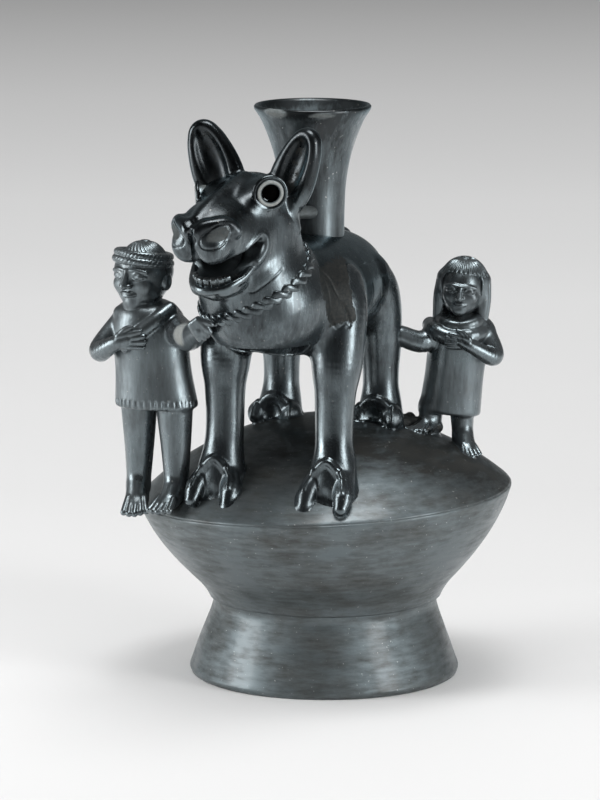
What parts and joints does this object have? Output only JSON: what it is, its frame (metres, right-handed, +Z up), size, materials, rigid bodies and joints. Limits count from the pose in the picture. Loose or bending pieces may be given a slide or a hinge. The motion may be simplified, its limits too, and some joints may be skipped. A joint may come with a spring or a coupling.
{
  "type": "effigy spout bottle",
  "caption": "Burnished blackware bottle: a haltered llama with a spout on its back stands between attendants on a keeled chamber over a flared pedestal foot, and pours through it.",
  "frame": {"origin": "centre of the foot ring on the plane the bottle stands on", "axes": "+Z up, -Y the way the llama's body faces, +X to the llama's left"},
  "size_m": [0.1966, 0.251, 0.3024],
  "materials": {
    "blackware_vessel": "burnished reduced clay, silvery sheen with burnish streaks and fine pits",
    "blackware_llama": "burnished reduced clay, glossy blue-black with silvery lights",
    "blackware_figures": "softly burnished reduced clay with dull grey recesses",
    "blackware_eye": "burnished ring about a dull sunken pupil",
    "blackware_teeth": "worn grey clay"
  },
  "bodies": {
    "root": {"bowl_lower": "blackware_vessel", "bridge_strap": "blackware_vessel", "dome_upper": "blackware_vessel", "llama_ear_left": "blackware_llama", "llama_ear_right": "blackware_llama", "llama_eye_left": "blackware_eye", "llama_eye_right": "blackware_eye", "llama_fore_foot_left": "blackware_llama", "llama_fore_foot_right": "blackware_llama", "llama_fore_leg_left": "blackware_llama", "llama_fore_leg_right": "blackware_llama", "llama_halter": "blackware_llama", "llama_head": "blackware_llama", "llama_hind_foot_left": "blackware_llama", "llama_hind_foot_right": "blackware_llama", "llama_hind_leg_left": "blackware_llama", "llama_hind_leg_right": "blackware_llama", "llama_jaw": "blackware_llama", "llama_neck": "blackware_llama", "llama_tail": "blackware_llama", "llama_teeth": "blackware_teeth", "llama_trunk": "blackware_llama", "man_arm_left": "blackware_figures", "man_arm_right": "blackware_figures", "man_cap": "blackware_figures", "man_ear_disc_left": "blackware_figures", "man_ear_disc_right": "blackware_figures", "man_foot_left": "blackware_figures", "man_foot_right": "blackware_figures", "man_head": "blackware_figures", "man_headband": "blackware_figures", "man_leg_left": "blackware_figures", "man_leg_right": "blackware_figures", "man_tunic": "blackware_figures", "pedestal_foot": "blackware_vessel", "spout": "blackware_vessel", "woman_arm_left": "blackware_figures", "woman_arm_right": "blackware_figures", "woman_foot_left": "blackware_figures", "woman_foot_right": "blackware_figures", "woman_hair": "blackware_figures", "woman_head": "blackware_figures", "woman_leg_left": "blackware_figures", "woman_leg_right": "blackware_figures", "woman_tunic": "blackware_figures"}
  },
  "joints": []
}
